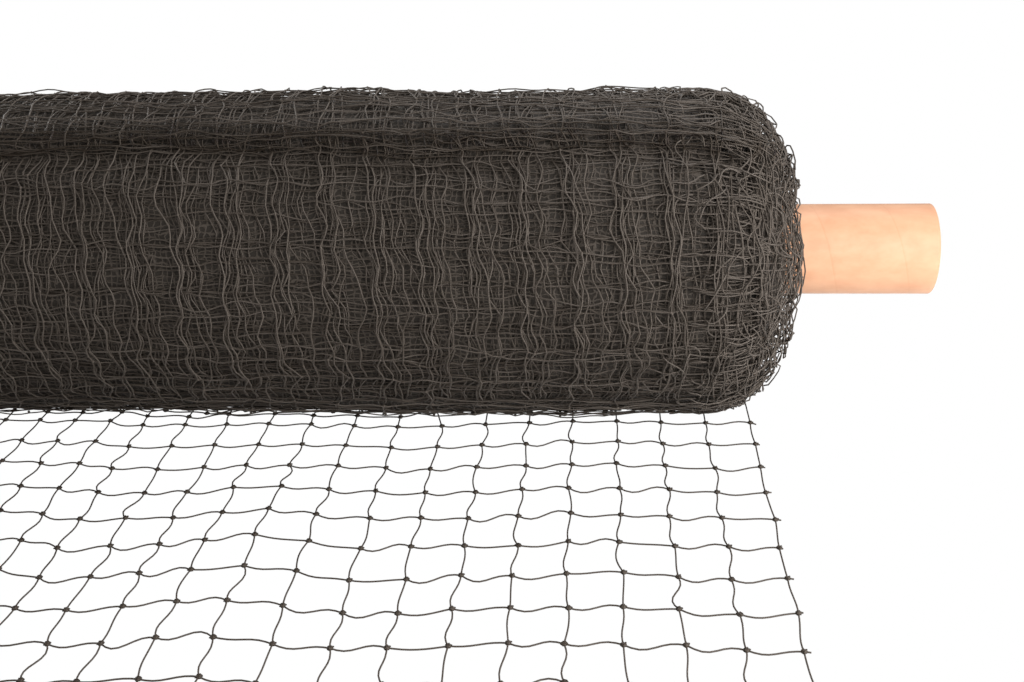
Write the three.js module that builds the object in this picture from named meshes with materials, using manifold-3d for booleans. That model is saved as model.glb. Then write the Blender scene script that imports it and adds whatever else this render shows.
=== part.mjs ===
// A roll of knotted safety netting wound on a paper tube, with its free end lying flat in front of it.
// Millimetres, +Z up. The origin is on the floor under the middle of the roll. +X runs along the tube, and
// the free end lies towards -Y.
import * as THREE from "three";
import { mergeVertices } from "three/addons/utils/BufferGeometryUtils.js";
import Module from "manifold-3d";

const wasm = await Module();
wasm.setup();

// Net: square meshes tied from thin round twine
const MESH = 30;
const TWINE = 1.2;
const MESHES_ACROSS = 25;
const MESHES_ALONG = 12;
const NET_WIDTH = MESH * MESHES_ACROSS;

// Roll: the wound net, soft at both ends and a little flattened where it lies on the floor. Its own weight
// presses it even up to the height of the underside.
const ROLL_RADIUS = 110;
const AXIS_HEIGHT = 109;
const END_OVERHANG = 25;
const ROLL_HALF = NET_WIDTH / 2 + END_OVERHANG;
const SHOULDER_LENGTH = 60;
const END_FLAT_RADIUS = 36;
const UNDERSIDE = 12;

// Tube: wound paper with a standard two-inch bore. The soft roll sags on it, so it lies a little above the
// middle of the roll.
const TUBE_RADIUS = 30;
const TUBE_RISE = 2;
const TUBE_WALL = 5;
const TUBE_PROUD = 92;
const TUBE_LENGTH = 2 * (ROLL_HALF + TUBE_PROUD);
const TUBE_GAP = 0.5;
const TUBE_SIDES = 48;

// Free end: where its first cross twine lies, where its twines come out from under the roll, and its skew
const FIRST_ROW_Y = -42.5;
const ROOT_Y = -25;
const SKEW = Math.tan(THREE.MathUtils.degToRad(1.1));

// Steps of the roll's surface, round it and along its straight part and shoulders
const ROLL_SIDES = 60;
const BODY_STEPS = 24;
const SHOULDER_STEPS = 6;

// Folds that run along the roll. Angles are degrees up from the front, over the top to the back. A fold is a
// soft ridge, or a trough where its height is negative, and it wanders to and fro along the roll.
const FOLDS = [
  { angle: 54, halfWidth: 7, height: -4, wander: 3, waves: 2.8, start: 1.3 },
  { angle: 69, halfWidth: 9, height: 2.2, wander: 3, waves: 2.8, start: 1.3 },
  { angle: 128, halfWidth: 8, height: -2.2, wander: 5, waves: 1.4, start: 2.3 },
  { angle: 196, halfWidth: 9, height: -1.8, wander: 4, waves: 1.8, start: 0.9 },
  { angle: -28, halfWidth: 10, height: -1.6, wander: 3, waves: 1.3, start: 3.0 },
];

// Slow swellings of the wound net: how many turns round the roll and waves along it, and how high
const SWELLINGS = [
  { turns: 2, waves: 0.7, height: 0.9, start: 0.3 },
  { turns: 3, waves: 1.9, height: 0.6, start: 1.7 },
  { turns: 1, waves: 4.3, height: 0.5, start: 2.6 },
  { turns: 5, waves: 2.6, height: 0.4, start: 4.1 },
];

// Puckers of the two ends of the roll: how many there are round an end, and how far they draw it in and out. The
// right end is drawn in as a whole, with no turns, and leans, with one turn, so that it is drawn in most below.
const PUCKERS = [
  { side: -1, turns: 3, depth: 2.2, start: 0.8 },
  { side: -1, turns: 7, depth: 1.2, start: 2.1 },
  { side: 1, turns: 0, depth: -2.5, start: Math.PI / 2 },
  { side: 1, turns: 1, depth: 2.5, start: 0.2 },
  { side: 1, turns: 2, depth: 2, start: 2.7 },
  { side: 1, turns: 6, depth: 1.3, start: 0.5 },
];

// Soft bends in the free end: the mesh at the middle of each, how many meshes it reaches across and along the
// net, and how far it draws the knots there along X and Y
const BENDS = [
  { column: 15, row: 5.2, across: 1.4, along: 3.4, alongX: -4, alongY: 11 },
  { column: 17, row: 7, across: 1.3, along: 3, alongX: 1, alongY: -6 },
  { column: 17, row: 0, across: 1.8, along: 1.8, alongX: 0.5, alongY: -5 },
  { column: 21.5, row: 3, across: 1.4, along: 4.5, alongX: -0.5, alongY: 5.5 },
  { column: 24.5, row: 8, across: 1.2, along: 3.5, alongX: 0, alongY: -3.5 },
  { column: 11, row: 5, across: 2, along: 6, alongX: 4, alongY: -2.5 },
  { column: 7, row: 3, across: 2.2, along: 3, alongX: -2, alongY: 4 },
  { column: 3.5, row: 8, across: 2, along: 3, alongX: -2.5, alongY: -4 },
];

// A pleat to the left of the middle: its columns lie close together, from its right one to its left one, so that
// all the net beyond it is drawn to the right, and back towards the roll
const PLEAT = { right: 11, left: 7, drawnX: 22, drawnY: 6 };

// Small unevenness of the knots: ripples along X or Y that change from column to column and row to row, and
// grow to their full size over the first rows past the roll
const RIPPLES = [
  { direction: "x", size: 1.1, perColumn: 1.7, perRow: 2.3, start: 0 },
  { direction: "y", size: 1.1, perColumn: 2.1, perRow: -1.3, start: 1 },
];
const STILL_ROWS = 2;

function bell(distance) {
  return Math.exp(-distance * distance);
}

function smooth(value) {
  const t = THREE.MathUtils.clamp(value, 0, 1);
  return t * t * (3 - 2 * t);
}

// The solid inside a closed geometry, for cutting
function solidOf(geometry) {
  const bare = geometry.clone();
  bare.deleteAttribute("normal");
  bare.deleteAttribute("uv");
  const merged = mergeVertices(bare, 1e-3);
  const vertProperties = new Float32Array(merged.attributes.position.array);
  const triVerts = new Uint32Array(merged.index.array);
  return new wasm.Manifold(new wasm.Mesh({ numProp: 3, vertProperties, triVerts }));
}

// A solid as a geometry that can be drawn
function geometryOf(solid) {
  const { vertProperties, triVerts } = solid.getMesh();
  const geometry = new THREE.BufferGeometry();
  geometry.setAttribute("position", new THREE.BufferAttribute(vertProperties, 3));
  geometry.setIndex(new THREE.BufferAttribute(triVerts, 1));
  geometry.computeVertexNormals();
  return geometry;
}

// A closed profile of (radius, place along the axis) spun about X
function spun(profile, sides) {
  return new THREE.LatheGeometry(profile, sides).rotateZ(-Math.PI / 2);
}

// Paper tube

function tubeGeometry() {
  const end = TUBE_LENGTH / 2;
  const bore = TUBE_RADIUS - TUBE_WALL;
  const profile = [
    new THREE.Vector2(bore, -end),
    new THREE.Vector2(TUBE_RADIUS, -end),
    new THREE.Vector2(TUBE_RADIUS, end),
    new THREE.Vector2(bore, end),
    new THREE.Vector2(bore, -end),
  ];
  return spun(profile, TUBE_SIDES);
}

// Wound net

// One end of the roll from the tube out to the full radius: flat near the tube, then a quarter ellipse
function shoulderProfile(side) {
  const points = [new THREE.Vector2(TUBE_RADIUS + TUBE_GAP, side * ROLL_HALF)];
  for (let i = 0; i <= SHOULDER_STEPS; i++) {
    const turn = (i / SHOULDER_STEPS) * (Math.PI / 2);
    const radius = END_FLAT_RADIUS + (ROLL_RADIUS - END_FLAT_RADIUS) * Math.sin(turn);
    const place = ROLL_HALF - SHOULDER_LENGTH * (1 - Math.cos(turn));
    points.push(new THREE.Vector2(radius, side * place));
  }
  return points;
}

function rollProfile() {
  const left = shoulderProfile(-1);
  const right = shoulderProfile(1).reverse();
  const straightHalf = ROLL_HALF - SHOULDER_LENGTH;
  const body = [];
  for (let i = 1; i < BODY_STEPS; i++) {
    const place = THREE.MathUtils.lerp(-straightHalf, straightHalf, i / BODY_STEPS);
    body.push(new THREE.Vector2(ROLL_RADIUS, place));
  }
  return [...left, ...body, ...right, left[0].clone()];
}

// How far the wound surface stands out from a true cylinder, at an angle up from the front
function unevenness(x, angle) {
  const along = (Math.PI * x) / ROLL_HALF;
  let height = 0;
  for (const fold of FOLDS) {
    const middle = fold.angle + fold.wander * Math.sin(fold.waves * along + fold.start);
    const away = THREE.MathUtils.euclideanModulo(angle - middle + 180, 360) - 180;
    height += fold.height * bell(away / fold.halfWidth);
  }
  const turn = THREE.MathUtils.degToRad(angle);
  for (const swelling of SWELLINGS) {
    height += swelling.height * Math.sin(swelling.turns * turn + swelling.waves * along + swelling.start);
  }
  return height;
}

// How far an end of the roll is drawn out along the tube, at an angle up from the front
function pucker(side, angle) {
  const turn = THREE.MathUtils.degToRad(angle);
  let depth = 0;
  for (const row of PUCKERS) {
    if (row.side === side) depth += row.depth * Math.sin(row.turns * turn + row.start);
  }
  return depth;
}

function rollGeometry() {
  const geometry = spun(rollProfile(), ROLL_SIDES);
  const position = geometry.attributes.position;
  for (let i = 0; i < position.count; i++) {
    const [x, y, z] = [position.getX(i), position.getY(i), position.getZ(i)];
    const radius = Math.hypot(y, z);
    const angle = THREE.MathUtils.radToDeg(Math.atan2(z, -y));
    const outer = smooth((radius - END_FLAT_RADIUS) / (ROLL_RADIUS - END_FLAT_RADIUS));
    const unpressed = smooth((z + AXIS_HEIGHT) / UNDERSIDE);
    const scale = (radius + outer * unpressed * unevenness(x, angle)) / radius;
    const middle = AXIS_HEIGHT + (1 - outer) * TUBE_RISE;
    const side = Math.sign(x);
    const end = smooth((Math.abs(x) - ROLL_HALF + SHOULDER_LENGTH) / SHOULDER_LENGTH);
    const drawn = side * end * pucker(side, angle);
    position.setXYZ(i, x + drawn, y * scale, z * scale + middle);
  }
  const underFloor = new THREE.BoxGeometry(2 * TUBE_LENGTH, 4 * ROLL_RADIUS, ROLL_RADIUS);
  underFloor.translate(0, 0, -ROLL_RADIUS / 2);
  return geometryOf(solidOf(geometry).subtract(solidOf(underFloor)));
}

// Free end of the net

// Where the knot at a column from the left and a row from the roll lies on the floor
function knot(column, row) {
  const x = (column - MESHES_ACROSS / 2) * MESH;
  const rightEdge = NET_WIDTH / 2;
  const place = new THREE.Vector2(x, FIRST_ROW_Y - row * MESH - SKEW * (rightEdge - x));
  for (const bend of BENDS) {
    const share = bell(Math.hypot((column - bend.column) / bend.across, (row - bend.row) / bend.along));
    place.x += bend.alongX * share;
    place.y += bend.alongY * share;
  }
  const pleated = (PLEAT.right - column) / (PLEAT.right - PLEAT.left);
  place.x += PLEAT.drawnX * THREE.MathUtils.clamp(pleated, 0, 1);
  place.y += PLEAT.drawnY * smooth(PLEAT.right - column);
  const grown = smooth(row / STILL_ROWS);
  for (const ripple of RIPPLES) {
    const phase = ripple.perColumn * column + ripple.perRow * row + ripple.start;
    place[ripple.direction] += ripple.size * grown * Math.sin(phase);
  }
  return place;
}

// A corner of the gap beside a knot, half a twine inside the lines to the knots on either side
function gapCorner(corner, before, after) {
  const a = before.clone().sub(corner).normalize();
  const b = after.clone().sub(corner).normalize();
  const inset = TWINE / 2 / Math.abs(a.cross(b));
  return corner.clone().add(a.add(b).multiplyScalar(inset));
}

function gap(column, row) {
  const corners = [
    knot(column, row),
    knot(column, row + 1),
    knot(column + 1, row + 1),
    knot(column + 1, row),
  ];
  const inner = corners.map((corner, i) => gapCorner(corner, corners[(i + 3) % 4], corners[(i + 1) % 4]));
  return new THREE.Path(inner);
}

// The outline: down the left edge, along the cut end, up the right edge, then back along the first cross
// twine with a short root of each lengthwise twine running in under the roll
function netOutline() {
  const half = TWINE / 2;
  const points = [];
  for (let row = 1; row < MESHES_ALONG; row++) {
    const edge = knot(0, row);
    points.push(new THREE.Vector2(edge.x - half, edge.y));
  }
  for (let column = 0; column <= MESHES_ACROSS; column++) {
    const end = knot(column, MESHES_ALONG);
    const side = Math.sign(column - MESHES_ACROSS / 2) * half;
    points.push(new THREE.Vector2(end.x + side, end.y - half));
  }
  for (let row = MESHES_ALONG - 1; row > 0; row--) {
    const edge = knot(MESHES_ACROSS, row);
    points.push(new THREE.Vector2(edge.x + half, edge.y));
  }
  for (let column = MESHES_ACROSS; column >= 0; column--) {
    const root = knot(column, 0);
    points.push(new THREE.Vector2(root.x + half, root.y + half));
    points.push(new THREE.Vector2(root.x + half, ROOT_Y));
    points.push(new THREE.Vector2(root.x - half, ROOT_Y));
    points.push(new THREE.Vector2(root.x - half, root.y + half));
  }
  return points;
}

function looseNetGeometry() {
  const shape = new THREE.Shape(netOutline());
  for (let column = 0; column < MESHES_ACROSS; column++) {
    for (let row = 0; row < MESHES_ALONG; row++) {
      shape.holes.push(gap(column, row));
    }
  }
  return new THREE.ExtrudeGeometry(shape, { depth: TWINE, bevelEnabled: false });
}

// Scene graph

function named(name, geometry, material) {
  const mesh = new THREE.Mesh(geometry, material);
  mesh.name = name;
  return mesh;
}

const blackTwine = new THREE.MeshStandardMaterial({ color: 0x2b2723, roughness: 0.6, metalness: 0 });
const kraftPaper = new THREE.MeshStandardMaterial({ color: 0xe0a878, roughness: 0.7, metalness: 0 });

const tube = named("core_tube", tubeGeometry(), kraftPaper);
tube.position.z = AXIS_HEIGHT + TUBE_RISE;

const netting = new THREE.Group();
netting.add(named("wound_net", rollGeometry(), blackTwine));
netting.add(named("loose_net", looseNetGeometry(), blackTwine));

const roll = new THREE.Group();
roll.add(tube, netting);

export default roll;
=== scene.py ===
# %% [markdown]
# # A roll of knotted safety netting
#
# The object is a black knotted net, wound on a paper tube and lying on its side. Its free end lies on
# the floor in front of it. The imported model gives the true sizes, and this lesson dresses it: thousands
# of thin twines for the wound net, real knots in the free end, and a paper finish on the tube.

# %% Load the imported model
import math
import bmesh
import bpy
import numpy as np
from mathutils import Matrix, Vector
from mathutils.bvhtree import BVHTree


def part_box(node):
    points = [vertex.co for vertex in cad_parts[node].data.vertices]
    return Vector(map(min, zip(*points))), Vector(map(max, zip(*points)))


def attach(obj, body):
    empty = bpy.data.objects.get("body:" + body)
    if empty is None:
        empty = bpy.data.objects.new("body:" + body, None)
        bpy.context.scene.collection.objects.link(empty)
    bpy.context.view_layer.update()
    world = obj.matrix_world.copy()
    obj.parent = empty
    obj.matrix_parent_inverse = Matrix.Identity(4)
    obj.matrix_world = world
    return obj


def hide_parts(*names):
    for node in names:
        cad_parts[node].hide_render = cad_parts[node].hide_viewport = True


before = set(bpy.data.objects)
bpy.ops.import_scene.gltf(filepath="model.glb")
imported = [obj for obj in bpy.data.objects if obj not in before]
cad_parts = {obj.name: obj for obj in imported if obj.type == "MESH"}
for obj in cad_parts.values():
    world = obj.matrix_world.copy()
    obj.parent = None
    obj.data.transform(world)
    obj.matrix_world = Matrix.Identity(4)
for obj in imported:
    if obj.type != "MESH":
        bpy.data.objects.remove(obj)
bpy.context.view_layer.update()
BODY = "root"
print("packed nodes:", sorted(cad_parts))

# %% [markdown]
# ## Driving sizes
#
# Everything is in metres. The tube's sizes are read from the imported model. The net's own sizes, its
# mesh and its twine, are usual ones for such a net. The roll's profile repeats the one that the solid
# was made from. All randomness comes from one seeded source, so every run makes the same net.

# %% Driving sizes
MESH = 0.030
TWINE = 0.0010
MESHES_ACROSS = 25
MESHES_ALONG = 12
NET_WIDTH = MESH * MESHES_ACROSS

tube_low, tube_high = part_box("core_tube")
TUBE_RADIUS = (tube_high.z - tube_low.z) / 2
TUBE_WALL = 0.005
TUBE_AXIS = (tube_high.z + tube_low.z) / 2

ROLL_AXIS = 0.109
ROLL_RADIUS = 0.110
ROLL_HALF = 0.400
SHOULDER = 0.060
END_FLAT_RADIUS = 0.036
STRAIGHT_HALF = ROLL_HALF - SHOULDER

SEED = 11
chance = np.random.default_rng(SEED)
print("tube radius and height of its axis:", round(TUBE_RADIUS, 4), round(TUBE_AXIS, 4))

# %% [markdown]
# ## Camera
#
# A camera could be set by eye, but the net on the floor is a grid of squares, so the photograph's
# camera can be worked out from its knots: how high it stood, how far in front, how far it looked down
# and to the left, and its focal length. Turning a camera first about its own axis, then down, then
# round the vertical is three short matrices.

# %% Camera
CAMERA_PLACE = Vector((0.268, -0.7926, 0.3957))
CAMERA_LENS = 43.37
CAMERA_SENSOR = 36
NEAREST_SEEN = 0.01
LOOKS_DOWN = math.radians(23.95)
LOOKS_LEFT = math.radians(4.07)
TILTS = math.radians(-1.51)


def make_camera():
    data = bpy.data.cameras.new("camera")
    data.lens = CAMERA_LENS
    data.sensor_width = CAMERA_SENSOR
    data.sensor_fit = "HORIZONTAL"
    data.clip_start = NEAREST_SEEN
    camera = bpy.data.objects.new("camera", data)
    turn = Matrix.Rotation(LOOKS_LEFT, 4, "Z")
    tip = Matrix.Rotation(math.pi / 2 - LOOKS_DOWN, 4, "X")
    tilt = Matrix.Rotation(TILTS, 4, "Z")
    camera.matrix_world = Matrix.Translation(CAMERA_PLACE) @ turn @ tip @ tilt
    bpy.context.scene.collection.objects.link(camera)
    bpy.context.scene.camera = camera


make_camera()
print("camera lens:", CAMERA_LENS, "mm")

# %% [markdown]
# ## Floor and light
#
# The photograph was taken on a bright white sweep that was lit until it showed no shadow at all. A
# glowing floor could do that, but it would light the roll from below. A Light Path node is better: what
# the camera sees of the floor and the sky is pure white, while the light that they throw back on the
# roll is only a soft grey. Three soft lights near the right end make that end the brightest, as in the
# photograph: a tall one beside the tube, one above and behind, and a wide one in front. A fourth,
# behind on the left, lights the end and the back that the photograph does not show.

# %% Floor
FLOOR_SIZE = 12.0
FLOOR_GREY = 0.84
WHITE = (1, 1, 1, 1)


def new_material(name, roughness=0.5, shine=0.5):
    """A material with a node tree: the material, the tree and its main shader"""
    material = bpy.data.materials.new(name)
    material.use_nodes = True
    tree = material.node_tree
    shader = tree.nodes["Principled BSDF"]
    shader.inputs["Roughness"].default_value = roughness
    shader.inputs["Specular IOR Level"].default_value = shine
    return material, tree, shader


def white_to_camera(tree, shader, output):
    """Shows pure white to the camera, and the shader to everything else"""
    ray = tree.nodes.new("ShaderNodeLightPath")
    kind = "ShaderNodeEmission" if output.type == "OUTPUT_MATERIAL" else "ShaderNodeBackground"
    white = tree.nodes.new(kind)
    white.inputs["Color"].default_value = WHITE
    mix = tree.nodes.new("ShaderNodeMixShader")
    tree.links.new(ray.outputs["Is Camera Ray"], mix.inputs["Fac"])
    tree.links.new(shader.outputs[0], mix.inputs[1])
    tree.links.new(white.outputs[0], mix.inputs[2])
    tree.links.new(mix.outputs["Shader"], output.inputs["Surface"])


def smooth_object(name, mesh, materials):
    """A mesh as an object of the scene, with smooth faces and its materials"""
    mesh.polygons.foreach_set("use_smooth", np.ones(len(mesh.polygons), bool))
    for material in materials:
        mesh.materials.append(material)
    piece = bpy.data.objects.new(name, mesh)
    bpy.context.scene.collection.objects.link(piece)
    return piece


def object_from(name, body, materials):
    """The same for a shape made with bmesh, which is freed"""
    mesh = bpy.data.meshes.new(name)
    body.to_mesh(mesh)
    body.free()
    print(f"{name}: {len(mesh.polygons)} faces")
    return smooth_object(name, mesh, materials)


def make_floor():
    material, tree, shader = new_material("floor_paper", roughness=0.9)
    shader.inputs["Base Color"].default_value = (FLOOR_GREY, FLOOR_GREY, FLOOR_GREY, 1)
    white_to_camera(tree, shader, tree.nodes["Material Output"])
    sheet = bmesh.new()
    bmesh.ops.create_grid(sheet, x_segments=1, y_segments=1, size=FLOOR_SIZE / 2)
    object_from("floor", sheet, [material])


make_floor()

# %% Lights and sky
LIGHTS = [
    # name, place, aim, width, height, power
    ("side_light", (0.90, -0.55, 0.35), (0.25, 0, 0.10), 0.4, 0.6, 10.8),
    ("back_light", (0.45, 0.45, 0.90), (0.20, 0, 0.10), 0.6, 0.4, 6.2),
    ("front_light", (0.45, -0.95, 0.80), (0.22, 0, 0.10), 0.8, 0.25, 4.9),
    ("far_light", (-0.95, 0.45, 0.40), (-0.30, 0, 0.10), 0.6, 0.6, 13.0),
]
SKY_STRENGTH = 0.48


def make_light(name, place, aim, width, height, power):
    data = bpy.data.lights.new(name, "AREA")
    data.shape = "RECTANGLE"
    data.size = width
    data.size_y = height
    data.energy = power
    light = bpy.data.objects.new(name, data)
    towards = Vector(aim) - Vector(place)
    facing = towards.to_track_quat("-Z", "Y").to_matrix().to_4x4()
    light.matrix_world = Matrix.Translation(place) @ facing
    light.visible_camera = False
    bpy.context.scene.collection.objects.link(light)


def make_sky():
    world = bpy.data.worlds.new("white_sky")
    world.use_nodes = True
    tree = world.node_tree
    background = tree.nodes["Background"]
    background.inputs["Color"].default_value = WHITE
    background.inputs["Strength"].default_value = SKY_STRENGTH
    white_to_camera(tree, background, tree.nodes["World Output"])
    bpy.context.scene.world = world


for row in LIGHTS:
    make_light(*row)
make_sky()
bpy.context.scene.view_settings.view_transform = "Standard"
print("lights:", [row[0] for row in LIGHTS])

# %% [markdown]
# ## Twine finish
#
# The twine is thin black polyethylene, twisted from fine threads. The threads could be modelled, but on
# thousands of twines a bump does as well: a slanted wave that follows each twine's own UV map, where U
# runs along it and V round it. No two twines are equally dark, so a value stored on the points, called
# tone, lightens or darkens each bar a little. On the wound net the tone also carries painted shade: from
# the fold up over the lip's face, on twines that lie under others, and more on each deeper piece. The
# fine grain is a node group: the paper uses it too.

# %% Grain shared by the finishes
def grain_group():
    group = bpy.data.node_groups.new("fine_grain", "ShaderNodeTree")
    for name, usual in (("Scale", 400.0), ("Detail", 3.0)):
        socket = group.interface.new_socket(name, in_out="INPUT", socket_type="NodeSocketFloat")
        socket.default_value = usual
    group.interface.new_socket("Vector", in_out="INPUT", socket_type="NodeSocketVector")
    group.interface.new_socket("Grain", in_out="OUTPUT", socket_type="NodeSocketFloat")
    entry = group.nodes.new("NodeGroupInput")
    leave = group.nodes.new("NodeGroupOutput")
    noise = group.nodes.new("ShaderNodeTexNoise")
    noise.inputs["Roughness"].default_value = 0.6
    for name in ("Vector", "Scale", "Detail"):
        group.links.new(entry.outputs[name], noise.inputs[name])
    group.links.new(noise.outputs["Fac"], leave.inputs["Grain"])
    return group


GRAIN = grain_group()
print("made the node group", GRAIN.name)

# %% Helpers for the finishes
def grained(tree, place, scale):
    """The shared grain, read at a place"""
    grain = tree.nodes.new("ShaderNodeGroup")
    grain.node_tree = GRAIN
    grain.inputs["Scale"].default_value = scale
    tree.links.new(place, grain.inputs["Vector"])
    return grain.outputs["Grain"]


def maths(tree, operation, *values):
    """One Math node. Each value is a number or the output of another node."""
    node = tree.nodes.new("ShaderNodeMath")
    node.operation = operation
    for socket, value in zip(node.inputs, values):
        if isinstance(value, bpy.types.NodeSocket):
            tree.links.new(value, socket)
        else:
            socket.default_value = value
    return node.outputs["Value"]


def ranged(tree, value, start, stop, low=0.0, high=1.0):
    """A value between start and stop, mapped to a value between low and high"""
    node = tree.nodes.new("ShaderNodeMapRange")
    for name, limit in (("From Min", start), ("From Max", stop), ("To Min", low), ("To Max", high)):
        node.inputs[name].default_value = limit
    tree.links.new(value, node.inputs["Value"])
    return node.outputs["Result"]


def two_colours(tree, shader, factor, dark, light):
    """The shader's colour as a mix of a dark and a light one"""
    mix = tree.nodes.new("ShaderNodeMix")
    mix.data_type = "RGBA"
    mix.inputs["A"].default_value = dark
    mix.inputs["B"].default_value = light
    tree.links.new(factor, mix.inputs["Factor"])
    tree.links.new(mix.outputs["Result"], shader.inputs["Base Color"])
    return mix


def relief(tree, shader, height, strength, distance):
    """A bump on the shader's surface"""
    bump = tree.nodes.new("ShaderNodeBump")
    bump.inputs["Strength"].default_value = strength
    bump.inputs["Distance"].default_value = distance
    tree.links.new(height, bump.inputs["Height"])
    tree.links.new(bump.outputs["Normal"], shader.inputs["Normal"])


# %% Twine material
TWINE_DARK = (0.0345, 0.0268, 0.0205, 1)
TWINE_LIGHT = (0.070, 0.0578, 0.0480, 1)
TWINE_SHINE = (1.0, 0.9, 0.82, 1)
TWINE_ROUGHNESS = (0.46, 0.70)
TWIST_PITCH = 0.0022


def twine_material():
    material, tree, shader = new_material("black_twine", shine=0.45)
    shader.inputs["Specular Tint"].default_value = TWINE_SHINE
    place = tree.nodes.new("ShaderNodeTexCoord")
    grain = grained(tree, place.outputs["Object"], 180.0)
    tone = tree.nodes.new("ShaderNodeAttribute")
    tone.attribute_name = "tone"
    lightness = maths(tree, "MULTIPLY_ADD", grain, 0.5, tone.outputs["Fac"])
    mix = two_colours(tree, shader, lightness, TWINE_DARK, TWINE_LIGHT)
    mix.clamp_factor = False
    tree.links.new(ranged(tree, grain, 0, 1, *TWINE_ROUGHNESS), shader.inputs["Roughness"])
    run = tree.nodes.new("ShaderNodeUVMap")
    run.uv_map = "twine"
    twist = tree.nodes.new("ShaderNodeTexWave")
    twist.bands_direction = "DIAGONAL"
    twist.inputs["Scale"].default_value = 1.0
    twist.inputs["Distortion"].default_value = 0.6
    tree.links.new(run.outputs["UV"], twist.inputs["Vector"])
    relief(tree, shader, twist.outputs["Fac"], 0.5, 0.0002)
    return material


BLACK_TWINE = twine_material()
print("made the finish", BLACK_TWINE.name)

# %% [markdown]
# ## The form of the roll, measured from the solid
#
# The wound net has long folds, soft swellings and puckered ends. They could be described again here,
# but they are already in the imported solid, so they are measured there: rays shot at the solid, square
# to its plain profile, tell how far its surface stands out at each place. The place is given by its
# run, which is how far it is along the profile from the middle of the roll, over the shoulder and down
# to the tube, and by the angle up from the front.

# %% Profile of the roll
ARC_STEPS = 400
END_GAP = 0.0015
quarter = np.linspace(0, math.pi / 2, ARC_STEPS)
arc_turn = np.append(quarter, math.pi / 2)
arc_x = np.append(STRAIGHT_HALF + SHOULDER * np.sin(quarter), ROLL_HALF)
arc_radius = END_FLAT_RADIUS + (ROLL_RADIUS - END_FLAT_RADIUS) * np.cos(quarter)
arc_radius = np.append(arc_radius, TUBE_RADIUS + END_GAP)
arc_run = np.append(0, np.cumsum(np.hypot(np.diff(arc_x), np.diff(arc_radius))))
PROFILE_HALF = STRAIGHT_HALF + arc_run[-1]


def ease(t):
    """From 0 to 1 with a soft start and a soft end"""
    t = np.clip(t, 0, 1)
    return t * t * (3 - 2 * t)


def profile(run):
    """Where a run along the profile lies: x, radius, and the direction outwards as x and radius"""
    past = np.clip(np.abs(run) - STRAIGHT_HALF, 0, arc_run[-1])
    x = np.where(np.abs(run) < STRAIGHT_HALF, np.abs(run), np.interp(past, arc_run, arc_x))
    radius = np.interp(past, arc_run, arc_radius)
    turn = np.interp(past, arc_run, arc_turn)
    out_x = np.sin(turn) * (ROLL_RADIUS - END_FLAT_RADIUS)
    out_radius = np.cos(turn) * SHOULDER
    length = np.hypot(out_x, out_radius)
    side = np.sign(run)
    return side * x, radius, side * out_x / length, out_radius / length


def round_roll(x, radius, angle):
    """A point round the roll, by the angle up from the front. It sags, so its inner turns lie highest."""
    x, radius, angle = np.broadcast_arrays(x, radius, angle)
    inner = 1 - ease((radius - END_FLAT_RADIUS) / (ROLL_RADIUS - END_FLAT_RADIUS))
    middle = ROLL_AXIS + (TUBE_AXIS - ROLL_AXIS) * inner
    return np.stack([x, -radius * np.cos(angle), middle + radius * np.sin(angle)], axis=-1)


print("length of the profile from the middle to the tube:", round(PROFILE_HALF, 4))

# %% Measure the solid
RUN_STEPS = 161
ANGLE_STEPS = 180
REACH = 0.03
RUN_GRID = np.linspace(-PROFILE_HALF, PROFILE_HALF, RUN_STEPS)
ANGLE_GRID = np.arange(ANGLE_STEPS) * 2 * math.pi / ANGLE_STEPS


def measured_form():
    """How far the solid stands out from the plain profile, on a grid of runs and angles"""
    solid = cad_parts["wound_net"].data
    points = [vertex.co for vertex in solid.vertices]
    faces = [tuple(face.vertices) for face in solid.polygons]
    tree = BVHTree.FromPolygons(points, faces)
    x, radius, out_x, out_radius = (part[:, None] for part in profile(RUN_GRID))
    start = round_roll(x + REACH * out_x, radius + REACH * out_radius, ANGLE_GRID)
    plain = round_roll(x, radius, ANGLE_GRID)
    form = np.zeros((RUN_STEPS, ANGLE_STEPS))
    for i in range(RUN_STEPS):
        for j in range(ANGLE_STEPS):
            inward = Vector(plain[i, j] - start[i, j]).normalized()
            hit = tree.ray_cast(Vector(start[i, j]), inward, 2 * REACH)
            form[i, j] = REACH - hit[3] if hit[3] is not None else 0
    return form


FORM = measured_form()
print("the solid stands out from its profile by", FORM.min().round(4), "to", FORM.max().round(4))

# %% Points on the measured form
def form_at(run, angle):
    """The measured form between its grid points"""
    across = (np.clip(run / PROFILE_HALF, -1, 1) + 1) / 2 * (RUN_STEPS - 1)
    around = np.mod(angle / (2 * math.pi), 1) * ANGLE_STEPS
    i = np.minimum(across.astype(int), RUN_STEPS - 2)
    j = around.astype(int) % ANGLE_STEPS
    k = (j + 1) % ANGLE_STEPS
    s = across - i
    t = around - np.floor(around)
    near = FORM[i, j] * (1 - t) + FORM[i, k] * t
    far = FORM[i + 1, j] * (1 - t) + FORM[i + 1, k] * t
    return near * (1 - s) + far * s


def on_roll(run, angle, depth):
    """A point of the wound net, at a depth under the roll's measured surface"""
    x, radius, out_x, out_radius = profile(run)
    out = form_at(run, angle) - depth
    return round_roll(x + out * out_x, radius + out * out_radius, angle)


print("the front of the roll in the middle:", on_roll(np.array(0.0), np.array(0.0), 0).round(4))

# %% [markdown]
# ## Twines as joined meshes
#
# Twine could be drawn as curves with a round bevel, but a net has far too many to make one by one. Here
# each run of twine is a row of points in an array, and one function sweeps a small round section along
# all the rows at once. Knots are beads, copies of one small ball. Both give the same four things:
# points, faces, UVs and tones, which are joined into a single mesh. That is the quick way to make very
# many like things.

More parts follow.
